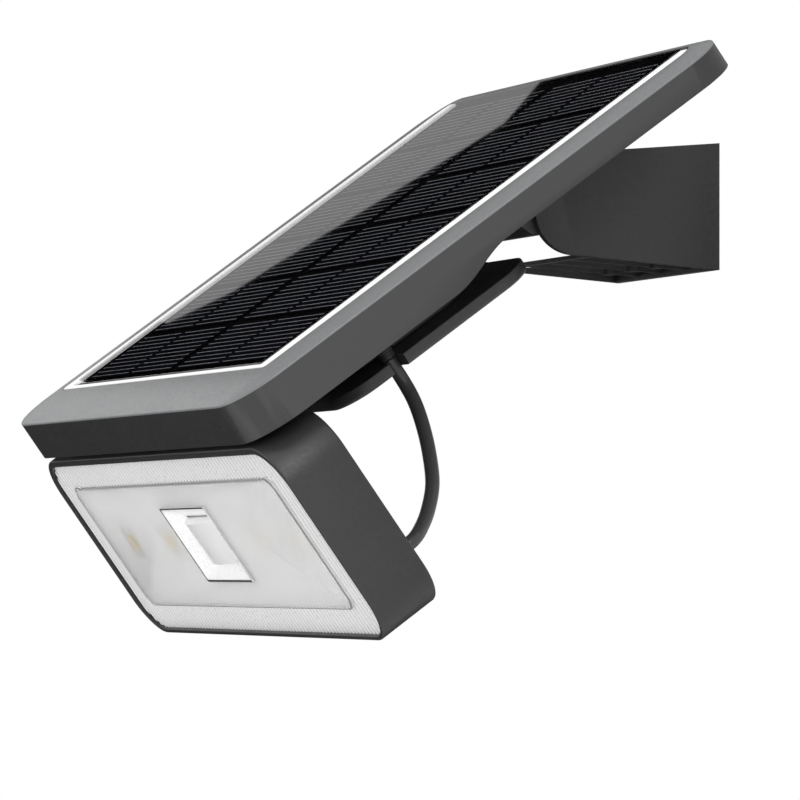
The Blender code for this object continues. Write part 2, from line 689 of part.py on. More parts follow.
def make_sensor(place, materials):
    """Motion sensor: a white well with sloping walls, an arched lens on its floor and the sensor can."""
    outer = (-SENSOR_HALF_WIDTH + GAP, SENSOR_HALF_WIDTH - GAP, SENSOR_N[0] + GAP, SENSOR_N[1] - GAP)
    rings = []
    for inset, u in ((0.0, LENS_FRONT), (0.0, WELL_FLOOR), (WELL_SLOPE, WELL_FLOOR), (0.6, LENS_FRONT)):
        x0, x1, n0, n1 = outer
        outline = rounded_rectangle(x0 + inset, x1 - inset, n0 + inset, n1 - inset, 0.5, 3)
        rings.append(lift(outline, "y", u))
    finish_mesh(loft(rings, closed=True), "sensor_frame", materials["reflector"], place)
    half = outer[1] - WELL_SLOPE - GAP
    inside = arch(half - ARCH_WALL, ARCH_HEIGHT - ARCH_WALL, WELL_FLOOR)
    profile = arch(half, ARCH_HEIGHT, WELL_FLOOR) + inside[::-1]
    limits = (outer[2] + WELL_SLOPE + GAP, outer[3] - WELL_SLOPE - GAP)
    lens = finish_mesh(prism(profile, "z", *limits), "sensor_lens", materials["lens"], place)
    shade_round(lens)
    middle = sum(SENSOR_N) / 2
    seat = BOARD_U[0] - GAP
    can = turned("y", (0.0, middle), [(seat - 3.1, 3.6), (seat - 2.5, 4.1), (seat, 4.1)], 24)
    shade_round(finish_mesh(can, "sensor_can", materials["steel"], place))


def arch(half, height, base):
    """Half an ellipse that stands on the base and bulges towards -u, from left to right."""
    points = []
    for index in range(17):
        angle = math.pi * (1 - index / 16)
        points.append((half * math.cos(angle), base - height * math.sin(angle)))
    return points


def make_gland(place, material):
    start = LAMP_BACK + GAP
    end = LAMP_BACK + GLAND_LENGTH
    profile = [(start, 4.6), (start + 2.0, 4.6), (start + 2.6, 3.8), (end, 2.9)]
    gland = finish_mesh(turned("y", (GLAND_X, GLAND_N), profile, 24), "lamp_gland", material, place)
    shade_round(gland)


def make_button(place, material):
    """Rubber-capped mode button through the lamp's back wall, with a flange that keeps it in."""
    inner = LAMP_BACK - LAMP_WALL
    profile = [(inner - 4.4, 6.6), (inner - 2.4, 6.6), (inner - 2.4, BUTTON_RADIUS),
               (LAMP_BACK + 0.8, BUTTON_RADIUS), (LAMP_BACK + 1.2, BUTTON_RADIUS - 0.6)]
    button = finish_mesh(turned("y", (0.0, 0.0), profile, 28), "mode_button", material, place)
    shade_round(button)


# ---------------------------------------------------------------- assembly

def build():
    clear_scene()
    materials = make_materials()
    world = (None, (0, 0, 0))
    make_bracket(world, materials["body"])
    make_hinge_hardware(world, materials)

    pivot = make_empty("panel_pivot", (0, *HINGE_AXIS), TILT_DEGREES)
    face = (pivot, (0, -HINGE_IN_PANEL[0], -HINGE_IN_PANEL[1]))
    make_hinge_block(face, materials["body"])
    make_housing(face, materials["body"])
    make_housing_screws(face, materials["steel"])
    make_bezel(face, materials["bezel"])
    make_border(face, materials["border"])
    make_laminate(face, materials)
    make_panel_inside(face, materials)
    make_winder(face, materials)
    make_boot(face, materials["rubber"])
    make_cable(face, materials["rubber"])

    dock_point = (0, sum(FOOT_U) / 2, LAMP_TOP)
    dock_offset = (0, dock_point[1] - HINGE_IN_PANEL[0], dock_point[2] - HINGE_IN_PANEL[1])
    dock = make_empty("lamp_dock", dock_offset, 0.0, pivot)
    lamp = (dock, (0, -dock_point[1], -dock_point[2]))
    make_lamp_housing(lamp, materials["body"])
    make_lamp_foot(lamp, materials["body"])
    make_lamp_glass(lamp, materials)
    make_reflector(lamp, materials["reflector"])
    make_light_parts(lamp, materials)
    make_sensor(lamp, materials)
    make_gland(lamp, materials["rubber"])
    button_place = (dock, (BUTTON_X, -dock_point[1], BUTTON_N - dock_point[2]))
    make_button(button_place, materials["rubber"])


build()
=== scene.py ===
"""Solar flood light: finished visual model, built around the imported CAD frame.

World frame in metres.  Pieces are drawn in millimetres, either in the world's axes (wall bracket) or in
the panel's own axes (x along the width, u up the panel's slope, n out of the solar face).
"""
import math

import bmesh
import bpy
from mathutils import Matrix, Vector


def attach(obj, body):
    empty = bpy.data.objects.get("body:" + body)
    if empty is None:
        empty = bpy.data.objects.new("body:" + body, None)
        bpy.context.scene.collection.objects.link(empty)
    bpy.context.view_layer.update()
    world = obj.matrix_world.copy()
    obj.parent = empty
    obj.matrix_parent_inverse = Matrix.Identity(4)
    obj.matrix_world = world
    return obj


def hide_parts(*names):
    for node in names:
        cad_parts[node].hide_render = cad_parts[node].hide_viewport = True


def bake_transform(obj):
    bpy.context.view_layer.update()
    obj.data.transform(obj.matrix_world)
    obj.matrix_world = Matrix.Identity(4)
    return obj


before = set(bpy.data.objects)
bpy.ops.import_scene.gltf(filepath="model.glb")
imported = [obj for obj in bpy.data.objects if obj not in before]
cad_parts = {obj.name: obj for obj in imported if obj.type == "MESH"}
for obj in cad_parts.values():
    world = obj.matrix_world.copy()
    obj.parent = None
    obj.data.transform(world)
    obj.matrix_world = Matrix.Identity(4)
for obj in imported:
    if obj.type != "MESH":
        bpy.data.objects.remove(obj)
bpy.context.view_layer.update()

MM = 0.001
HINGE = Vector((0.0, -50.8, -2.7))
HINGE_IN_PANEL = (55.2, -29.47)
TILT = math.radians(35.9)
U_AXIS = Vector((0.0, math.cos(TILT), math.sin(TILT)))
N_AXIS = Vector((0.0, -math.sin(TILT), math.cos(TILT)))
PANEL_ORIGIN = HINGE - HINGE_IN_PANEL[0] * U_AXIS - HINGE_IN_PANEL[1] * N_AXIS


def in_panel(point):
    """Panel x, u, n in millimetres to the world in metres."""
    x, u, n = point
    return (PANEL_ORIGIN + Vector((x, 0, 0)) + u * U_AXIS + n * N_AXIS) * MM


# ---------------------------------------------------------------- camera

CAMERA_PLACE = Vector((1.512217, -0.681237, -0.119640))
CAMERA_FORWARD = Vector((-0.931986, 0.360821, 0.034781))
CAMERA_UP = Vector((0.031622, -0.014658, 0.999392))
CAMERA_LENS = 223.605


def make_camera():
    data = bpy.data.cameras.new("camera")
    data.lens = CAMERA_LENS
    data.sensor_width = 36.0
    data.clip_start = 0.01
    data.clip_end = 50.0
    camera = bpy.data.objects.new("camera", data)
    back = -CAMERA_FORWARD.normalized()
    right = CAMERA_UP.cross(back).normalized()
    up = back.cross(right)
    turn = Matrix((right, up, back)).transposed().to_4x4()
    camera.matrix_world = Matrix.Translation(CAMERA_PLACE) @ turn
    bpy.context.scene.collection.objects.link(camera)
    bpy.context.scene.camera = camera


# ---------------------------------------------------------------- mesh helpers

def make_object(bm, name, material, panel=True):
    """Object from a bmesh drawn in millimetres, in the panel's axes or the world's."""
    bmesh.ops.recalc_face_normals(bm, faces=bm.faces)
    for vert in bm.verts:
        vert.co = in_panel(vert.co) if panel else vert.co * MM
    mesh = bpy.data.meshes.new(name)
    bm.to_mesh(mesh)
    bm.free()
    item = bpy.data.objects.new(name, mesh)
    if material is not None:
        mesh.materials.append(material)
    bpy.context.scene.collection.objects.link(item)
    return item


def arc(centre, radius, start, end, steps):
    points = []
    for index in range(steps + 1):
        angle = math.radians(start + (end - start) * index / steps)
        points.append((centre[0] + radius * math.cos(angle), centre[1] + radius * math.sin(angle)))
    return points


def rounded_rectangle(x0, x1, y0, y1, radius, steps=12, upper=None):
    upper = radius if upper is None else upper
    points = arc((x1 - radius, y0 + radius), radius, -90, 0, steps)
    points += arc((x1 - upper, y1 - upper), upper, 0, 90, steps)
    points += arc((x0 + upper, y1 - upper), upper, 90, 180, steps)
    points += arc((x0 + radius, y0 + radius), radius, 180, 270, steps)
    return points


def loft(sections, closed=False, bm=None):
    """Skin equal-length outlines; closed joins the last to the first, otherwise both ends get a cap."""
    bm = bm or bmesh.new()
    loops = [[bm.verts.new(point) for point in section] for section in sections]
    pairs = list(zip(loops, loops[1:]))
    if closed:
        pairs.append((loops[-1], loops[0]))
    count = len(loops[0])
    for lower, upper in pairs:
        for index in range(count):
            after = (index + 1) % count
            bm.faces.new((lower[index], lower[after], upper[after], upper[index]))
    if not closed:
        bm.faces.new(loops[0])
        bm.faces.new(loops[-1])
    return bm


def lift(outline, axis, height):
    if axis == "x":
        return [(height, a, b) for a, b in outline]
    if axis == "y":
        return [(a, height, b) for a, b in outline]
    return [(a, b, height) for a, b in outline]


def prism(outline, axis, start, end, bm=None):
    return loft([lift(outline, axis, start), lift(outline, axis, end)], bm=bm)


def box(x, y, z, bm=None):
    return prism([(x[0], y[0]), (x[1], y[0]), (x[1], y[1]), (x[0], y[1])], "z", z[0], z[1], bm)


def rod(axis, centre, radius, start, end, steps=36):
    return prism(arc(centre, radius, 0, 360 - 360 / steps, steps - 1), axis, start, end)


def turned(axis, centre, profile, steps=40):
    sections = []
    for position, radius in profile:
        sections.append(lift(arc(centre, radius, 0, 360 - 360 / steps, steps - 1), axis, position))
    return loft(sections)


def carve(target, tool, operation="DIFFERENCE", panel=True):
    """Boolean a bmesh into an object and keep only the result."""
    cutter = make_object(tool, "tool", None, panel)
    modifier = target.modifiers.new("cut", "BOOLEAN")
    modifier.operation = operation
    modifier.object = cutter
    modifier.solver = "EXACT"
    graph = bpy.context.evaluated_depsgraph_get()
    result = bpy.data.meshes.new_from_object(target.evaluated_get(graph))
    target.modifiers.clear()
    old = target.data
    target.data = result
    bpy.data.meshes.remove(old)
    bpy.data.objects.remove(cutter, do_unlink=True)
    result.name = target.name


def soften(item, width, segments=3, angle=32):
    """Round the sharp edges, and shade everything smooth between them."""
    item.data.shade_smooth()
    modifier = item.modifiers.new("rounding", "BEVEL")
    modifier.width = width * MM
    modifier.segments = segments
    modifier.limit_method = "ANGLE"
    modifier.angle_limit = math.radians(angle)
    modifier.harden_normals = True
    modifier.miter_outer = "MITER_ARC"


def shade_round(item, angle=35):
    item.data.shade_smooth()
    item.data.set_sharp_from_angle(angle=math.radians(angle))


def install(item, body, slot, *nodes):
    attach(item, body)
    if nodes:
        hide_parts(*nodes)
    return item


# ---------------------------------------------------------------- materials

GLASS_IOR = 1.5
GLASS_ROUGHNESS = 0.012
ACRYLIC_IOR = 1.49


class Look:
    """Principled material with procedural colour, roughness and grain laid out in object space."""

    def __init__(self, name, **values):
        self.material = bpy.data.materials.new(name)
        self.material.use_nodes = True
        self.tree = self.material.node_tree
        self.shader = self.tree.nodes["Principled BSDF"]
        self.place = self.tree.nodes.new("ShaderNodeTexCoord").outputs["Object"]
        self.normal = None
        for key, value in values.items():
            self.shader.inputs[key.replace("_", " ")].default_value = value

    def node(self, kind, **inputs):
        item = self.tree.nodes.new("ShaderNode" + kind)
        for key, value in inputs.items():
            self.feed(item.inputs[key.replace("_", " ")], value)
        return item

    def feed(self, socket, value):
        if isinstance(value, bpy.types.NodeSocket):
            self.tree.links.new(value, socket)
        else:
            socket.default_value = value

    def noise(self, scale, detail=2.0, stretch=None):
        place = self.place
        if stretch:
            mapping = self.node("Mapping", Vector=place)
            mapping.inputs["Scale"].default_value = stretch
            place = mapping.outputs[0]
        return self.node("TexNoise", Vector=place, Scale=scale, Detail=detail).outputs["Fac"]

    def span(self, value, low, high, start=0.3, end=0.7):
        item = self.node("MapRange", Value=value)
        item.inputs["From Min"].default_value = start
        item.inputs["From Max"].default_value = end
        item.inputs["To Min"].default_value = low
        item.inputs["To Max"].default_value = high
        return item.outputs[0]

    def mix(self, factor, first, second):
        item = self.tree.nodes.new("ShaderNodeMix")
        item.data_type = "RGBA"
        self.feed(item.inputs["Factor"], factor)
        self.feed(item.inputs[6], first)
        self.feed(item.inputs[7], second)
        return item.outputs[2]

    def math(self, kind, first, second=0.0):
        item = self.tree.nodes.new("ShaderNodeMath")
        item.operation = kind
        for socket, value in zip(item.inputs, (first, second)):
            self.feed(socket, value)
        return item.outputs[0]

    def colour(self, value):
        self.feed(self.shader.inputs["Base Color"], value)

    def rough(self, low, high, scale):
        self.feed(self.shader.inputs["Roughness"], self.span(self.noise(scale), low, high))

    def bump(self, height, strength, distance):
        item = self.node("Bump", Height=height, Strength=strength, Distance=distance)
        if self.normal is not None:
            self.feed(item.inputs["Normal"], self.normal)
        self.normal = item.outputs[0]
        self.feed(self.shader.inputs["Normal"], self.normal)


def grey(value, tint=(1.0, 1.0, 1.0)):
    return (value * tint[0], value * tint[1], value * tint[2], 1.0)


def moulded(name, colour, rough=(0.38, 0.5), grain=0.22, size=1500.0, edge=1.9, tint=(1.0, 1.0, 1.03)):
    """Moulded plastic: fine spark-eroded grain, faint flow mottle, and edges slightly lightened by
    Pointiness, partly as rubbed wear and partly as a painted edge highlight.
    """
    look = Look(name)
    base = look.mix(look.span(look.noise(38.0, 3.0), 0.0, 1.0), grey(colour * 0.96, tint),
                    grey(colour * 1.04, tint))
    speck = look.span(look.noise(size * 0.8, 2.0), 0.0, 1.0, 0.35, 0.65)
    base = look.mix(speck, base, look.mix(0.25, base, grey(colour * 1.8, tint)))
    # Edges lighter than the faces by the factor edge: rubbed wear and a painted edge highlight, found by
    # Pointiness.
    point = look.tree.nodes.new("ShaderNodeNewGeometry").outputs["Pointiness"]
    wear_and_edge_highlight = look.span(point, 0.0, 1.0, 0.515, 0.6)
    look.colour(look.mix(wear_and_edge_highlight, base, grey(colour * edge, tint)))
    look.rough(rough[0], rough[1], 700.0)
    look.bump(look.noise(size, 3.0), grain, 0.00012)
    look.bump(look.noise(size * 0.27, 2.0), grain * 0.5, 0.0002)
    return look.material


def make_looks():
    looks = {
        "body": moulded("charcoal_plastic", 0.024),
        "bracket": moulded("bracket_plastic", 0.021, rough=(0.42, 0.55), grain=0.3, size=1200.0),
        "lamp": moulded("lamp_plastic", 0.022),
        "winder": moulded("winder_plastic", 0.036),
        "bezel": moulded("grey_bezel_plastic", 0.14, rough=(0.3, 0.38), grain=0.12, edge=1.4,
                         tint=(0.97, 1.0, 1.02)),
        "reflector": moulded("white_reflector", 0.92, rough=(0.3, 0.4), grain=0.05, edge=1.0,
                             tint=(1.0, 1.0, 1.0)),
        "rubber": moulded("black_rubber", 0.016, rough=(0.5, 0.62), grain=0.2, size=2200.0, edge=1.5),
        "cable": moulded("cable_sheath", 0.05, rough=(0.3, 0.38), grain=0.1, size=2600.0, edge=1.0),
    }
    looks["border"] = border_look()
    looks["steel"] = steel_look()
    looks["glass"] = glass_look()
    looks["cell"] = cell_look()
    looks["backsheet"] = backsheet_look()
    looks["finger"] = finger_look()
    looks["lens"] = lens_look()
    looks["lens_rim_painted_shade"] = lens_rim_shade_look()
    looks["ribbed"] = ribbed_look()
    looks["sensor_lens"] = sensor_lens_look()
    looks["led"] = led_look()
    looks["board"] = board_look()
    looks["battery"] = battery_look()
    return looks


def steel_look():
    look = Look("zinc_steel", Metallic=1.0)
    streak = look.noise(900.0, 4.0, (1.0, 1.0, 0.15))
    look.colour(look.mix(look.span(streak, 0.0, 1.0), grey(0.42, (1.0, 1.0, 0.97)), grey(0.66)))
    look.rough(0.24, 0.42, 400.0)
    look.bump(streak, 0.15, 0.0001)
    return look.material


def let_light_through(look, tint):
    """Shadow and diffuse rays pass straight through, so that what lies behind is lit."""
    path = look.tree.nodes.new("ShaderNodeLightPath")
    straight = look.math("MAXIMUM", path.outputs["Is Shadow Ray"], path.outputs["Is Diffuse Ray"])
    clear = look.tree.nodes.new("ShaderNodeBsdfTransparent")
    clear.inputs["Color"].default_value = grey(tint)
    blend = look.node("MixShader", Fac=straight)
    look.tree.links.new(look.shader.outputs[0], blend.inputs[1])
    look.tree.links.new(clear.outputs[0], blend.inputs[2])
    look.tree.links.new(blend.outputs[0], look.tree.nodes["Material Output"].inputs["Surface"])


def glass_look():
    """Clear cover sheet: a straight view through it under a polished upper surface."""
    look = Look("solar_glass")
    clear = look.tree.nodes.new("ShaderNodeBsdfTransparent")
    polish = look.node("BsdfGlossy", Roughness=GLASS_ROUGHNESS)
    edge = look.node("Fresnel", IOR=GLASS_IOR)
    inside = look.tree.nodes.new("ShaderNodeNewGeometry").outputs["Backfacing"]
    share = look.math("MULTIPLY", edge.outputs[0], look.math("SUBTRACT", 1.0, inside))
    blend = look.node("MixShader", Fac=share)
    look.tree.links.new(clear.outputs[0], blend.inputs[1])
    look.tree.links.new(polish.outputs[0], blend.inputs[2])
    look.tree.links.new(blend.outputs[0], look.tree.nodes["Material Output"].inputs["Surface"])
    return look.material


def cell_look():
    """Near-black coated silicon with a faint blue cast and fine texture."""
    look = Look("silicon_cell", Specular_IOR_Level=0.0)
    tone = look.mix(look.span(look.noise(45.0, 2.0), 0.0, 1.0), (0.0035, 0.0037, 0.0055, 1),
                    (0.006, 0.0065, 0.010, 1))
    fleck = look.node("TexVoronoi", Vector=look.place, Scale=600.0)
    look.colour(look.mix(look.span(fleck.outputs["Distance"], 0.0, 0.35, 0.0, 0.6), tone,
                         (0.009, 0.0095, 0.014, 1)))
    look.rough(0.7, 0.85, 200.0)
    look.bump(look.noise(2500.0), 0.1, 0.00005)
    return look.material


def backsheet_look():
    """Black film behind the cells, laminated to the glass."""
    look = Look("dark_backsheet", Specular_IOR_Level=0.0)
    look.colour(look.mix(look.span(look.noise(80.0, 3.0), 0.0, 1.0), grey(0.003), grey(0.0055)))
    look.rough(0.75, 0.9, 300.0)
    look.bump(look.noise(1800.0), 0.1, 0.00005)
    return look.material


def border_look():
    """White strip that ends short of the upper end, where the film under the glass is black."""
    look = Look("border_strip_plastic")
    white = look.mix(look.span(look.noise(40.0, 2.0), 0.0, 1.0), grey(0.92), grey(0.96))
    along = look.node("VectorMath", Vector=look.place)
    along.operation = "DOT_PRODUCT"
    along.inputs[1].default_value = U_AXIS
    start = in_panel((0, 92.6, 1.4)).dot(U_AXIS)
    black = look.span(along.outputs["Value"], 0.0, 1.0, start - 0.0002, start + 0.0002)
    look.colour(look.mix(black, white, grey(0.004)))
    look.rough(0.35, 0.45, 300.0)
    look.bump(look.noise(1500.0, 2.0), 0.08, 0.0001)
    return look.material


def finger_look():
    look = Look("silver_contact", Specular_IOR_Level=0.0)
    look.colour(look.mix(look.span(look.noise(900.0, 3.0), 0.0, 1.0), grey(0.16), grey(0.3)))
    look.rough(0.35, 0.55, 500.0)
    look.bump(look.noise(3000.0), 0.3, 0.00005)
    return look.material


LED_PLACES = (-78.7, -42.5, 42.5, 78.7)
LED_N = -51.6
RIB_PITCH = 2.98


def frosted(name, clearness, light, dark):
    """Frosted acrylic with a fine sparkle grain."""
    look = Look(name, IOR=ACRYLIC_IOR, Transmission_Weight=clearness)
    look.rough(0.26, 0.36, 900.0)
    look.bump(look.noise(2400.0, 2.0), 0.25, 0.0001)
    base = look.mix(look.span(look.noise(30.0, 3.0), 0.0, 1.0), grey(light * 0.97), grey(light))
    sparkle = look.span(look.noise(2400.0, 2.0), 0.0, 1.0, 0.32, 0.68)
    return look, look.mix(sparkle, look.mix(dark, base, grey(0.3)), base)


def lens_look():
    """Middle of the lens: the LEDs and the reflector's pockets show softly through it."""
    look, base = frosted("frosted_lens", 0.7, 0.99, 0.05)
    look.rough(0.06, 0.1, 900.0)
    look.colour(base)
    let_light_through(look, 1.0)
    return look.material


# Rounded front edge of the lens's middle: mid grey and nearly opaque, a painted shade line round the edge.
def lens_rim_shade_look():
    look, base = frosted("lens_rim_painted_shade", 0.1, 0.3, 0.2)
    look.colour(base)
    return look.material


def ribbed_look():
    """Border of the lens: each rib bends the light, so its flank reads dark and its crest bright; the dark
    flanks are painted shade in the colour, by position along x, over the real rib geometry.
    """
    look, base = frosted("ribbed_lens", 0.1, 0.9, 0.1)
    split = look.node("SeparateXYZ", Vector=look.place)
    wave = look.math("PINGPONG", look.math("DIVIDE", split.outputs[0], RIB_PITCH * MM), 0.5)
    # Painted shade: the colour darkens on each rib's flank, in step with the rib pitch along x.
    painted_flank_shade = look.span(wave, 0.62, 0.0, 0.0, 0.24)
    look.colour(look.mix(painted_flank_shade, base, grey(0.12)))
    let_light_through(look, 0.8)
    return look.material


def sensor_lens_look():
    look = Look("sensor_lens", IOR=ACRYLIC_IOR, Transmission_Weight=0.12)
    look.colour(look.mix(look.span(look.noise(60.0, 2.0), 0.0, 1.0), grey(0.9), grey(0.96)))
    look.rough(0.14, 0.26, 300.0)
    look.bump(look.noise(900.0), 0.15, 0.0002)
    return look.material


def led_look():
    look = Look("led_phosphor")
    look.colour(look.mix(look.span(look.noise(900.0, 3.0), 0.0, 1.0), (0.8, 0.55, 0.1, 1),
                         (0.9, 0.68, 0.2, 1)))
    look.rough(0.35, 0.5, 500.0)
    look.bump(look.noise(2500.0), 0.2, 0.0001)
    return look.material


def board_look():
    look = Look("circuit_board")
    track = look.node("TexBrick", Vector=look.place, Scale=160.0)
    track.inputs["Color1"].default_value = (0.8, 0.8, 0.78, 1)
    track.inputs["Color2"].default_value = (0.84, 0.84, 0.82, 1)
    track.inputs["Mortar"].default_value = (0.62, 0.63, 0.6, 1)
    look.colour(track.outputs["Color"])
    look.rough(0.3, 0.45, 200.0)
    look.bump(look.noise(1500.0), 0.15, 0.0001)
    return look.material


def battery_look():
    look = Look("battery_wrap")
    look.colour(look.mix(look.span(look.noise(25.0, 3.0), 0.0, 1.0), (0.06, 0.12, 0.2, 1),
                         (0.08, 0.15, 0.24, 1)))
    look.rough(0.2, 0.35, 40.0)
    look.bump(look.noise(220.0, 2.0), 0.25, 0.0003)
    return look.material


# ---------------------------------------------------------------- cable

CABLE_RADIUS = 2.3
BOOT = (38.0, -25.0)
GLAND = (78.0, -74.5)
CABLE_ROUTE = (
    (38.0, -25.0, -31.9), (38.0, -25.0, -40.0), (41.4, -26.9, -47.4), (46.8, -31.1, -54.8),
    (53.2, -36.7, -61.8), (60.0, -43.4, -68.1), (66.5, -51.4, -72.3), (72.8, -58.8, -74.2),
    (78.0, -65.1, -74.5), (78.0, -72.7, -74.5),
)


def smooth_route(route, steps=5):
    """Catmull-Rom curve through the route, in metres in the world."""
    fine = []
    ends = [route[0]] + list(route) + [route[-1]]
    for a, b, c, d in zip(ends, ends[1:], ends[2:], ends[3:]):
        a, b, c, d = (Vector(point) for point in (a, b, c, d))
        for index in range(steps):
            t = index / steps
            fine.append(0.5 * (2 * b + (c - a) * t + (2 * a - 5 * b + 4 * c - d) * t * t
                               + (3 * b - a - 3 * c + d) * t ** 3))
    fine.append(Vector(route[-1]))
    return [in_panel(point) for point in fine]


def tube(points, radius, sides=24):
    """Rings round a path, carried along without twist."""
    bm = bmesh.new()
    rings = []
    side = None
    for index, point in enumerate(points):
        ahead = points[min(index + 1, len(points) - 1)] - points[max(index - 1, 0)]
        ahead.normalize()
        if side is None:
            side = ahead.orthogonal().normalized()
        side = (side - side.dot(ahead) * ahead).normalized()
        other = ahead.cross(side)
        ring = []
        for step in range(sides):
            angle = 2 * math.pi * step / sides
            ring.append(bm.verts.new(point + radius * (math.cos(angle) * side + math.sin(angle) * other)))
        rings.append(ring)
    for lower, upper in zip(rings, rings[1:]):
        for step in range(sides):
            after = (step + 1) % sides
            bm.faces.new((lower[step], lower[after], upper[after], upper[step]))
    bm.faces.new(rings[0])
    bm.faces.new(rings[-1])
    bmesh.ops.recalc_face_normals(bm, faces=bm.faces)
    return bm


def make_cable(look):
    path = smooth_route(CABLE_ROUTE)
    mesh = bpy.data.meshes.new("flex_cable")
    bm = tube(path, CABLE_RADIUS * MM)
    bm.to_mesh(mesh)
    bm.free()
    mesh.materials.append(look)
    cable = bpy.data.objects.new("flex_cable", mesh)
    bpy.context.scene.collection.objects.link(cable)
    shade_round(cable)
    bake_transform(cable)
    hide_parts("lamp_cable")


# ---------------------------------------------------------------- wall bracket

BRACKET_HALF = 41.0
BRACKET_WALL = 3.0
BRACKET_TOP = 20.8
BRACKET_BOTTOM = -20.7
SHOULDER = (-40.0, 17.2)
HINGE_YZ = (HINGE.y, HINGE.z)
NOSE_RADIUS = 14.3
SILL = (-46.8, -44.3)
SILL_TOP = -16.2


def bracket_profile():
    to_shoulder = Vector(SHOULDER) - Vector(HINGE_YZ)
    tangent = math.degrees(math.atan2(to_shoulder.y, to_shoulder.x))
    tangent += math.degrees(math.acos(NOSE_RADIUS / to_shoulder.length))
    back = [(0.0, BRACKET_BOTTOM), (0.0, BRACKET_TOP), SHOULDER]
    return back + arc(HINGE_YZ, NOSE_RADIUS, tangent, 270, 40)


def bracket_window():
    right = -17.0 - 3.5
    outline = [(-70, -30), (HINGE.y, -30), (HINGE.y, -14.6), (-38, -16.3), (right, -16.3)]
    outline += arc((right, -16.3 + 3.5), 3.5, -90, 0, 6)
    outline += arc((right, 12.5 - 3.5), 3.5, 0, 90, 6)
    outline += arc((-36.5, 12.5 - 3.5), 3.5, 90, 180, 6)
    outline += arc(HINGE_YZ, 6.6, -10, -190, 28)
    return outline + [(-45, BRACKET_TOP - 1), (-70, BRACKET_TOP + 5)]


def make_bracket(look):
    outline = bracket_profile()
    inner = BRACKET_HALF - BRACKET_WALL
    item = make_object(prism(outline, "x", inner, BRACKET_HALF), "bracket_shell", look, False)
    carve(item, prism(outline, "x", -BRACKET_HALF, -inner), "UNION", False)
    lap = inner + 0.5
    slope = (BRACKET_TOP - SHOULDER[1]) / -SHOULDER[0]
    front = SHOULDER[0] + 2
    front_z = BRACKET_TOP + slope * front
    top = [(front, front_z - BRACKET_WALL), (0, BRACKET_TOP - BRACKET_WALL), (0, BRACKET_TOP),
           (front, front_z)]
    carve(item, prism(top, "x", -lap, lap), "UNION", False)
    carve(item, box((-lap, lap), (-BRACKET_WALL, 0), (BRACKET_BOTTOM, BRACKET_TOP - 1)), "UNION", False)
    sill = [(SILL[0], SILL_TOP - 1.3), (SILL[1], SILL_TOP - 1.3), (SILL[1], SILL_TOP), (SILL[0], SILL_TOP)]
    carve(item, prism(sill, "x", -lap, lap), "UNION", False)
    rib_front = SILL[0] + 1
    rib = [(rib_front, SILL_TOP - 1), (-1, BRACKET_BOTTOM + 1), (-1, SILL_TOP + 1.4),
           (rib_front, SILL_TOP - 0.1)]
    for middle in (-19.0, 0.0, 19.0):
        carve(item, prism(rib, "x", middle - 1.2, middle + 1.2), "UNION", False)
        post = rod("z", (middle, -13.0), 2.6, BRACKET_BOTTOM + 1.4, BRACKET_TOP - 3, 24)
        carve(item, post, "UNION", False)
    carve(item, prism(bracket_window(), "x", -BRACKET_HALF - 2, -inner + 1), "DIFFERENCE", False)
    for side in (-1, 1):
        for level in (-1, 1):
            hole = rod("y", (side * 29.0, level * 11.0), 2.4, -6, 3, 28)
            carve(item, hole, "DIFFERENCE", False)
        socket = rod("x", HINGE_YZ, 3.15, side * (inner - 2), side * (inner + 1.6), 36)
        carve(item, socket, "DIFFERENCE", False)
    soften(item, 0.55, 3)
    install(item, "bracket", "body", "wall_bracket")


# ---------------------------------------------------------------- panel

HALF_X = 117.0
HALF_U = 100.0
CORNER = 18.0
UPPER_CORNER = 17.0
BEZEL_SIDE = 15.0
THICK = -14.0
THIN = -9.0
STEP = (-22.0, 2.0)


def step_outline(offset, far):
    points = [(STEP[0], far), (STEP[0], THICK + offset)]
    for index in range(1, 25):
        part = index / 24
        smooth = part * part * (3 - 2 * part)
        points.append((STEP[0] + (STEP[1] - STEP[0]) * part, THICK + offset + (THIN - THICK) * smooth))
    return points + [(HALF_U + 5, THIN + offset), (HALF_U + 5, far)]


def plan(inset, height):
    return lift(rounded_rectangle(-HALF_X + inset, HALF_X - inset, -HALF_U + inset, HALF_U - inset,
                                  CORNER - inset, 16, UPPER_CORNER - inset), "z", height)


def make_housing(look):
    item = make_object(loft([plan(0, THICK), plan(0, -0.62)]), "panel_shell", look)
    carve(item, prism(step_outline(0, -30), "x", -HALF_X - 5, HALF_X + 5))
    deep = rounded_rectangle(-114.8, 114.8, -97.8, -23.0, 15.8, 10)
    carve(item, prism(deep, "z", THICK + 2, 2))
    shallow = rounded_rectangle(-114.8, 114.8, -60, 97.8, 15.8, 10)
    carve(item, prism(shallow, "z", THIN + 2, 2))
    carve(item, box((-59.5, 59.5), (-96.6, -77.4), (THICK + 1, -5.2)), "UNION")
    wide = 56.6 - 12.0 / 8.1 * (THICK - 1 + 15.7)
    pocket = [(-wide, THICK - 1), (wide, THICK - 1), (44.6, -7.0), (-44.6, -7.0)]
    carve(item, prism(pocket, "y", -94.6, -79.4))
    carve(item, rod("z", BOOT, 2.6, THICK - 2, THICK + 4, 28))
    for x in (-98.0, 98.0):
        for u in (-66.0, 84.0):
            carve(item, rod("z", (x, u), 1.8, THICK - 2, THIN + 3, 20))
    soften(item, 0.7, 3)
    install(item, "panel", "body", "panel_housing")


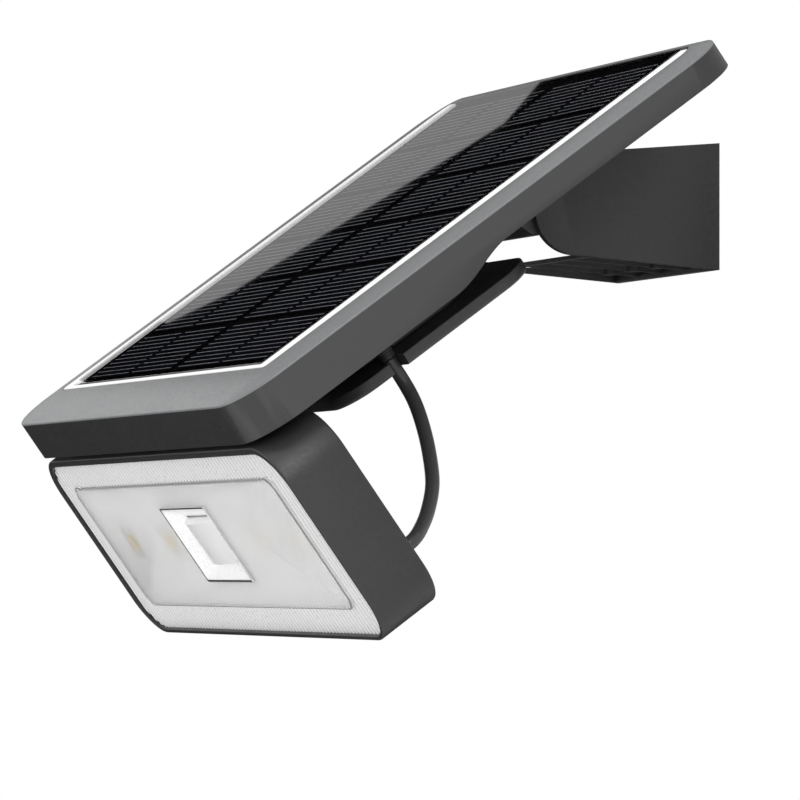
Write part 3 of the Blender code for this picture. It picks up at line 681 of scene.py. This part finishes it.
def make_bezel(look):
    def ring(x, lower, upper, corners, height):
        return lift(rounded_rectangle(-x, x, lower, upper, corners[0], 14, corners[1]), "z", height)

    inner = HALF_X - BEZEL_SIDE
    middle = HALF_X - BEZEL_SIDE / 2
    sections = [ring(HALF_X, -HALF_U, HALF_U, (CORNER, UPPER_CORNER), -0.6)]
    for inset, height in ((0.0, -0.32), (0.1, -0.12), (0.3, 0.0), (0.7, 0.07)):
        corners = (CORNER - inset, UPPER_CORNER - inset)
        sections.append(ring(HALF_X - inset, -HALF_U + inset, HALF_U - inset, corners, height))
    sections += [
        ring(middle, -91.0, 97.5, (7.0, 11.0), 0.9),
        ring(inner + 0.4, -81.8, 95.2, (2.3, 7.2), 1.37),
        ring(inner + 0.1, -81.5, 95.05, (2.1, 7.05), 1.34),
        ring(inner, -81.4, 95.0, (2.0, 7.0), 1.2),
        ring(inner, -81.4, 95.0, (2.0, 7.0), -0.6),
    ]
    item = make_object(loft(sections, closed=True), "bezel_frame", look)
    shade_round(item, 20)
    install(item, "panel", "bezel", "panel_bezel")


def make_border(looks):
    """White strips along the sides and the lower end; the upper end is black like the cells' film."""
    def ring(x, lower, upper, corners, height):
        return lift(rounded_rectangle(-x, x, lower, upper, corners[0], 10, corners[1]), "z", height)

    outer, inside = (1.7, 6.7), (0.4, 0.4)
    sections = [
        ring(101.7, -81.1, 94.7, outer, -0.6), ring(101.7, -81.1, 94.7, outer, 1.3),
        ring(101.6, -81.0, 94.6, outer, 1.4), ring(95.4, -79.3, 93.9, inside, 1.4),
        ring(95.3, -79.2, 93.8, inside, 1.3), ring(95.3, -79.2, 93.8, inside, -0.6),
    ]
    item = make_object(loft(sections, closed=True), "border_strip", looks["border"])
    shade_round(item)
    install(item, "panel", "border", "white_border")


CELL_ROWS = 6
CELL_ROW_PITCH = 27.55
LINES_PER_ROW = 10
LINE_PITCH = 2.522
FIRST_LINE_U = 86.5
LINE_STRIPS = ((-87.0, -48.0), (-44.0, -4.0), (4.0, 43.5), (47.0, 88.4))


def make_fingers(look):
    """Printed silver lines of the cells, ten to a row in four strips."""
    bm = bmesh.new()
    for row in range(CELL_ROWS):
        for line in range(LINES_PER_ROW):
            u = FIRST_LINE_U - CELL_ROW_PITCH * row - LINE_PITCH * line
            for x0, x1 in LINE_STRIPS:
                outline = [(u - 0.16, 1.02), (u + 0.16, 1.02), (u + 0.1, 1.07), (u - 0.1, 1.07)]
                prism(outline, "x", x0, x1, bm)
    item = make_object(bm, "cell_contacts", look)
    install(item, "panel", "cell")


def make_hinge_block(look):
    centre = HINGE_IN_PANEL
    top = THIN - 0.3
    outline = [(32.0, top), (39.4, -27.9), (48.2, -27.9)] + arc(centre, 6.0, 180, 360, 30)
    outline += [(61.2, top - 3), (76.0, top - 3), (76.0, top)]
    item = make_object(prism(outline, "x", -37.5, 37.5), "hinge_wedge", look)
    carve(item, rod("x", centre, 3.15, -39.5, 39.5))
    for side in (-1, 1):
        carve(item, rod("x", centre, 5.9, side * 34.0, side * 39.5, 40))
    soften(item, 0.5, 3)
    install(item, "panel", "body", "hinge_block")


# ---------------------------------------------------------------- winder, boot and gland

def make_winder(looks):
    drum = prism(rounded_rectangle(-26, 26, -34, 17, 12), "z", -31.7, THICK - 0.3)
    core = make_object(drum, "winder_drum", looks["body"])
    carve(core, prism(step_outline(-0.3, 0), "x", -60, 60))
    shade_round(core)
    install(core, "panel", "body", "winder_core")
    sections = []
    for inset, height in ((1.4, -36.2), (0.9, -36.1), (0.4, -35.75), (0.1, -35.3), (0.0, -34.8), (0.0, -32.5),
                          (0.15, -32.15), (0.5, -32.0)):
        outline = rounded_rectangle(-44 + inset, 44 - inset, -48 + inset, 33.4 - inset, 14 - inset, 16)
        sections.append(lift(outline, "z", height))
    flange = make_object(loft(sections), "winder_plate", looks["winder"])
    notch = arc(BOOT, 3.0, 90, 270, 16) + [(48.0, -28.0), (48.0, -22.0)]
    carve(flange, prism(notch, "z", -38, -30))
    for x in (-12, 12):
        carve(flange, rod("z", (x, -8.5), 1.8, -38, -30, 24))
        carve(flange, rod("z", (x, -8.5), 3.4, -38, -35.8, 28))
    shade_round(flange)
    install(flange, "panel", "body", "winder_flange")


def make_boot(look):
    profile = [(THICK - 0.3, 4.4), (THICK - 0.6, 4.6), (-16.2, 4.6), (-16.6, 4.4), (-17.2, 3.75)]
    for index in range(5):
        start = -18.2 - 2.5 * index
        wide = 3.7 - 0.1 * index
        profile += [(start, wide), (start - 0.9, wide), (start - 1.1, wide - 0.35),
                    (start - 1.9, wide - 0.35)]
    profile += [(-30.6, 3.1), (-31.3, 2.95), (-31.6, 2.6)]
    item = make_object(turned("z", BOOT, profile), "strain_relief", look)
    shade_round(item, 30)
    install(item, "panel", "rubber", "cable_boot")


def make_gland(look):
    back = LAMP_BACK
    profile = [(back + 0.3, 4.4), (back + 0.5, 4.6), (back + 2.1, 4.6), (back + 2.4, 4.4), (back + 2.7, 3.8),
               (back + 3.6, 3.4), (back + 4.3, 3.0), (back + 4.5, 2.7)]
    item = make_object(turned("y", GLAND, profile), "lamp_grommet", look)
    shade_round(item, 30)
    install(item, "lamp", "rubber", "lamp_gland")


# ---------------------------------------------------------------- lamp

LAMP_HALF = 114.5
LAMP_TOP = -16.0
LAMP_BOTTOM = -87.7
LAMP_FRONT = -99.1
LAMP_BACK = -77.5
LAMP_CORNER = 14.0


def lamp_ring(inset, u, steps=16):
    outline = rounded_rectangle(-LAMP_HALF + inset, LAMP_HALF - inset, LAMP_BOTTOM + inset, LAMP_TOP - inset,
                                LAMP_CORNER - inset, steps)
    return lift(outline, "y", u)


def mouth_ring(grow, u, steps=16):
    """Opening inside the lamp's rim, which is wider above than at the sides."""
    outline = rounded_rectangle(-113.1 - grow, 113.1 + grow, -86.1 - grow, -18.4 + grow, 12.4 + grow, steps)
    return lift(outline, "y", u)


def make_lamp_housing(look):
    front, back = LAMP_FRONT, LAMP_BACK
    sections = [lamp_ring(1.0, back), lamp_ring(0.55, back - 0.08), lamp_ring(0.2, back - 0.35),
                lamp_ring(0.0, back - 0.9), lamp_ring(0.0, front + 0.6), lamp_ring(0.1, front + 0.25),
                lamp_ring(0.3, front + 0.06), lamp_ring(0.55, front), mouth_ring(0.15, front),
                mouth_ring(0.0, front + 0.15), mouth_ring(0.0, back - 1.4)]
    item = make_object(loft(sections), "lamp_shell", look)
    carve(item, rod("y", (-60.0, -52.0), 5.3, back - 5, back + 2))
    shade_round(item)
    install(item, "lamp", "body", "lamp_housing")


def chord(x, half, low, high, radius):
    """Lower and upper n of a rounded rectangle at x."""
    over = abs(x) - (half - radius)
    if over <= 0:
        return low, high
    drop = radius - math.sqrt(max(radius * radius - over * over, 0.0))
    return low + drop, high - drop


def ribbed_plate():
    """Lens border: ribs that run along n, on a plate that reaches just under the lamp's rim."""
    half, low, high, radius = 113.3, -86.3, -18.2, 12.6
    columns = []
    count = int(2 * half / RIB_PITCH * 6)
    for index in range(count + 1):
        x = -half + 2 * half * index / count
        wave = abs(2 * ((x / RIB_PITCH) % 1.0) - 1)
        front = -97.35 - 0.6 * math.sin(math.pi * (1 - wave) / 2)
        n0, n1 = chord(min(abs(x), half - 0.02), half, low, high, radius)
        columns.append([(x, -96.2, n0), (x, front, n0), (x, front, n1), (x, -96.2, n1)])
    return loft(columns)


def serrated_outline(half, low, high, radius):
    """Plateau outline whose top edge is notched by the ribs."""
    outline = arc((half - radius, low + radius), radius, -90, 0, 8)
    outline += arc((half - radius, high - radius), radius, 0, 90, 8)
    count = int((2 * half - 2 * radius) / RIB_PITCH)
    for index in range(1, count * 2):
        x = half - radius - index * RIB_PITCH / 2
        outline.append((x, high - (0.9 if index % 2 else 0.0)))
    outline += arc((-half + radius, high - radius), radius, 90, 180, 8)
    outline += arc((-half + radius, low + radius), radius, 180, 270, 8)
    return outline


def scaled(outline, inset, middle):
    """Pull an outline in by about inset on every side; middle is the height of its centre."""
    wide = max(abs(a) for a, _ in outline)
    tall = max(abs(b - middle) for _, b in outline)
    return [(a * (1 - inset / wide), middle + (b - middle) * (1 - inset / tall)) for a, b in outline]


def make_lens(looks):
    border = make_object(ribbed_plate(), "lens_border", looks["ribbed"])
    carve(border, box((-97.5, 97.5), (-101, -94), (-75.2, -28.8)))
    border.data.shade_flat()
    install(border, "lamp", "lens")
    outline = serrated_outline(98.6, -76.3, -27.0, 5.0)
    sections = [lift(outline, "y", -96.9), lift(outline, "y", -98.6)]
    for inset, u in ((0.1, -98.85), (0.5, -99.0)):
        sections.append(lift(scaled(outline, inset, -51.6), "y", u))
    plateau = make_object(loft(sections), "lens_middle", looks["lens"])
    # The rounded front edge of the middle takes the mid-grey material, a painted shade line.
    plateau.data.materials.append(looks["lens_rim_painted_shade"])
    rim = range(len(outline), 3 * len(outline))
    for face in plateau.data.polygons:
        if face.index in rim:
            face.material_index = 1
    carve(plateau, box((-21.9, 21.9), (-101, -94), (-66.1, -36.8)))
    shade_round(plateau, 28)
    install(plateau, "lamp", "lens", "lamp_lens")


def make_sensor(looks):
    x0, x1, n0, n1 = -21.2, 21.2, -65.4, -37.5
    slope, floor = 5.6, -94.2
    rings = []
    for inset, u in ((0.0, -98.6), (0.0, floor), (slope, floor), (slope - 0.35, floor - 0.25),
                     (0.75, -98.7), (0.4, -98.85), (0.1, -98.8)):
        rings.append(lift(rounded_rectangle(x0 + inset, x1 - inset, n0 + inset, n1 - inset, 0.6, 5), "y", u))
    well = make_object(loft(rings, closed=True), "sensor_well", looks["reflector"])
    shade_round(well)
    install(well, "lamp", "reflector", "sensor_frame")
    seam = []
    for grow, u in ((0.05, -96.5), (0.05, -98.75), (0.2, -98.85), (0.6, -98.85), (0.65, -98.75),
                    (0.65, -96.5)):
        seam.append(lift(rounded_rectangle(x0 - grow, x1 + grow, n0 - grow, n1 + grow, 0.8, 5), "y", u))
    ring = make_object(loft(seam, closed=True), "sensor_gasket", looks["rubber"])
    shade_round(ring)
    install(ring, "lamp", "rubber")
    half = x1 - slope - 0.3
    bottom, top = n0 + slope + 0.3, n1 - slope - 0.3
    steps = 32
    sections = []
    for level, share in ((bottom, 0.93), (bottom + 0.12, 0.975), (bottom + 0.4, 1.0), (top - 0.4, 1.0),
                         (top - 0.12, 0.975), (top, 0.93)):
        outline = []
        for index in range(steps + 1):
            angle = math.pi * (1 - index / steps)
            outline.append((share * half * math.cos(angle), floor - 4.6 * share * math.sin(angle)))
        sections.append(lift(outline, "z", level))
    arch = make_object(loft(sections), "sensor_arch", looks["sensor_lens"])
    shade_round(arch)
    install(arch, "lamp", "lens", "sensor_lens")


def make_reflector(look):
    outline = rounded_rectangle(-108.3, 108.3, -81.5, -22.2, 7.8, 8)
    item = make_object(prism(outline, "y", -95.9, -93.6), "reflector_plate", look)
    for x in LED_PLACES:
        sections = []
        for half_x, half_n, radius, u in ((16.5, 19.0, 2.5, -96.2), (12.5, 14.0, 3.0, -95.6),
                                          (7.0, 7.5, 3.0, -94.4), (4.5, 4.5, 1.5, -93.0)):
            sections.append(lift(rounded_rectangle(x - half_x, x + half_x, LED_N - half_n, LED_N + half_n,
                                                   radius, 5), "y", u))
        carve(item, loft(sections))
    carve(item, box((-21.6, 21.6), (-97, -92), (-65.8, -37.1)))
    shade_round(item)
    install(item, "lamp", "reflector", "reflector_tray")


# ---------------------------------------------------------------- carried-over nodes

def dress(node, look):
    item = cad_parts[node]
    item.data.materials.clear()
    item.data.materials.append(look)


def dress_nodes(looks):
    plain = {
        "steel": ["hinge_pin", "sensor_can", "winder_screw_1", "winder_screw_2"]
                 + [f"housing_screw_{number}" for number in range(1, 5)],
        "rubber": ["friction_washer_left", "friction_washer_right", "lens_seal", "mode_button"],
        "backsheet": ["backsheet"],
        "glass": ["cover_glass"],
        "cell": [f"solar_cell_{side}_{row}" for side in ("left", "right") for row in range(1, 7)],
        "battery": ["battery_pack"],
        "board": ["charge_board", "led_board"],
        "reflector": ["battery_plug"],
        "led": [f"led_{number}" for number in range(1, 5)],
        "lamp": ["lamp_foot"],
    }
    for name, nodes in plain.items():
        for node in nodes:
            dress(node, looks[name])


# ---------------------------------------------------------------- stage and light

def stage_sheet(name, corners, colour, strength, seen=True):
    """Flat sheet; an unseen one shows only in reflections."""
    mesh = bpy.data.meshes.new(name)
    mesh.from_pydata([Vector(corner) for corner in corners], [], [tuple(range(len(corners)))])
    item = bpy.data.objects.new(name, mesh)
    bpy.context.scene.collection.objects.link(item)
    material = bpy.data.materials.new(name)
    material.use_nodes = True
    shader = material.node_tree.nodes["Principled BSDF"]
    shader.inputs["Base Color"].default_value = (*colour, 1)
    shader.inputs["Roughness"].default_value = 0.9
    shader.inputs["Specular IOR Level"].default_value = 0.0 if not seen else 0.2
    if strength is not None:
        shader.inputs["Emission Color"].default_value = (1, 1, 1, 1)
        shader.inputs["Emission Strength"].default_value = strength
    mesh.materials.append(material)
    if not seen:
        item.visible_camera = False
        item.visible_diffuse = False
        item.visible_shadow = False
        item.visible_transmission = False
    return item


FLOOR_Z = -0.42
CARD_X = -3.0
LOW_CARD_X = -0.8
BLACK = (0.0, 0.0, 0.0)


def upright(x, y, z):
    """Corners of a rectangle that faces along x."""
    return [(x, y[0], z[0]), (x, y[1], z[0]), (x, y[1], z[1]), (x, y[0], z[1])]


def level(x, y, z):
    """Corners of a level rectangle."""
    return [(x[0], y[0], z), (x[1], y[0], z), (x[1], y[1], z), (x[0], y[1], z)]


def make_stage():
    """Floor, and the cards that the glass, the bezel and the dark plastic mirror."""
    stage_sheet("floor", level((-2.2, 1.2), (-2.2, 2.2), FLOOR_Z), (0.86, 0.86, 0.86), None)
    stage_sheet("dark_card", upright(CARD_X, (-0.1, 1.6), (0.5, 1.5)), BLACK, 0.0, False)
    near = CARD_X + 0.01
    glare = [(near, 0.700, 1.150), (near, 0.602, 1.107), (near, 0.508, 1.027), (near, 0.416, 0.948),
             (near, 0.352, 0.894), (near, 0.300, 0.840), (near, 0.300, 0.74), (near, 0.70, 0.95)]
    stage_sheet("glare_card", glare, BLACK, 0.48, False)
    stage_sheet("facet_card", upright(near, (-0.35, 0.22), (0.70, 1.10)), BLACK, 1.6, False)
    stage_sheet("floor_card", level((LOW_CARD_X, -0.12), (-1.6, 0.6), FLOOR_Z + 0.01), BLACK, 0.0, False)
    wall = [(0.043, 0.002, -0.06), (0.07, 0.002, -0.06), (0.07, 0.002, 0.06), (0.043, 0.002, 0.06)]
    stage_sheet("wall_card", wall, BLACK, 0.0).visible_camera = False
    stage_sheet("low_card", upright(LOW_CARD_X, (-1.6, 0.6), (FLOOR_Z + 0.01, -0.13)), BLACK, 0.0, False)


SURROUND = 0.62
AREA_LIGHTS = (
    ("key", (1.7, -0.5, 0.7), 1.2, 16.0),
    ("top", (0.3, -0.5, 1.6), 1.4, 11.0),
    ("front", (-0.3, -1.5, -0.35), 1.0, 9.0),
)


def make_lights():
    world = bpy.data.worlds.new("studio")
    bpy.context.scene.world = world
    world.use_nodes = True
    tree = world.node_tree
    surround = tree.nodes["Background"]
    surround.inputs["Color"].default_value = (1, 1, 1, 1)
    surround.inputs["Strength"].default_value = SURROUND
    seen = tree.nodes.new("ShaderNodeBackground")
    seen.inputs["Color"].default_value = (1, 1, 1, 1)
    path = tree.nodes.new("ShaderNodeLightPath")
    blend = tree.nodes.new("ShaderNodeMixShader")
    tree.links.new(path.outputs["Is Camera Ray"], blend.inputs[0])
    tree.links.new(surround.outputs[0], blend.inputs[1])
    tree.links.new(seen.outputs[0], blend.inputs[2])
    tree.links.new(blend.outputs[0], tree.nodes["World Output"].inputs["Surface"])
    for name, place, size, power in AREA_LIGHTS:
        data = bpy.data.lights.new(name, "AREA")
        data.shape = "SQUARE"
        data.size = size
        data.energy = power
        item = bpy.data.objects.new(name, data)
        item.location = place
        aim = Vector((0, -0.1, -0.03)) - Vector(place)
        item.rotation_euler = aim.to_track_quat("-Z", "Y").to_euler()
        bpy.context.scene.collection.objects.link(item)
    bpy.context.scene.view_settings.view_transform = "Standard"


# ---------------------------------------------------------------- build

def build():
    make_camera()
    looks = make_looks()
    make_cable(looks["cable"])
    make_bracket(looks["bracket"])
    make_housing(looks["body"])
    make_bezel(looks["bezel"])
    make_border(looks)
    make_fingers(looks["finger"])
    make_hinge_block(looks["body"])
    make_winder(looks)
    make_boot(looks["rubber"])
    make_gland(looks["rubber"])
    make_lamp_housing(looks["lamp"])
    make_lens(looks)
    make_sensor(looks)
    make_reflector(looks["reflector"])
    dress_nodes(looks)
    make_stage()
    make_lights()


build()
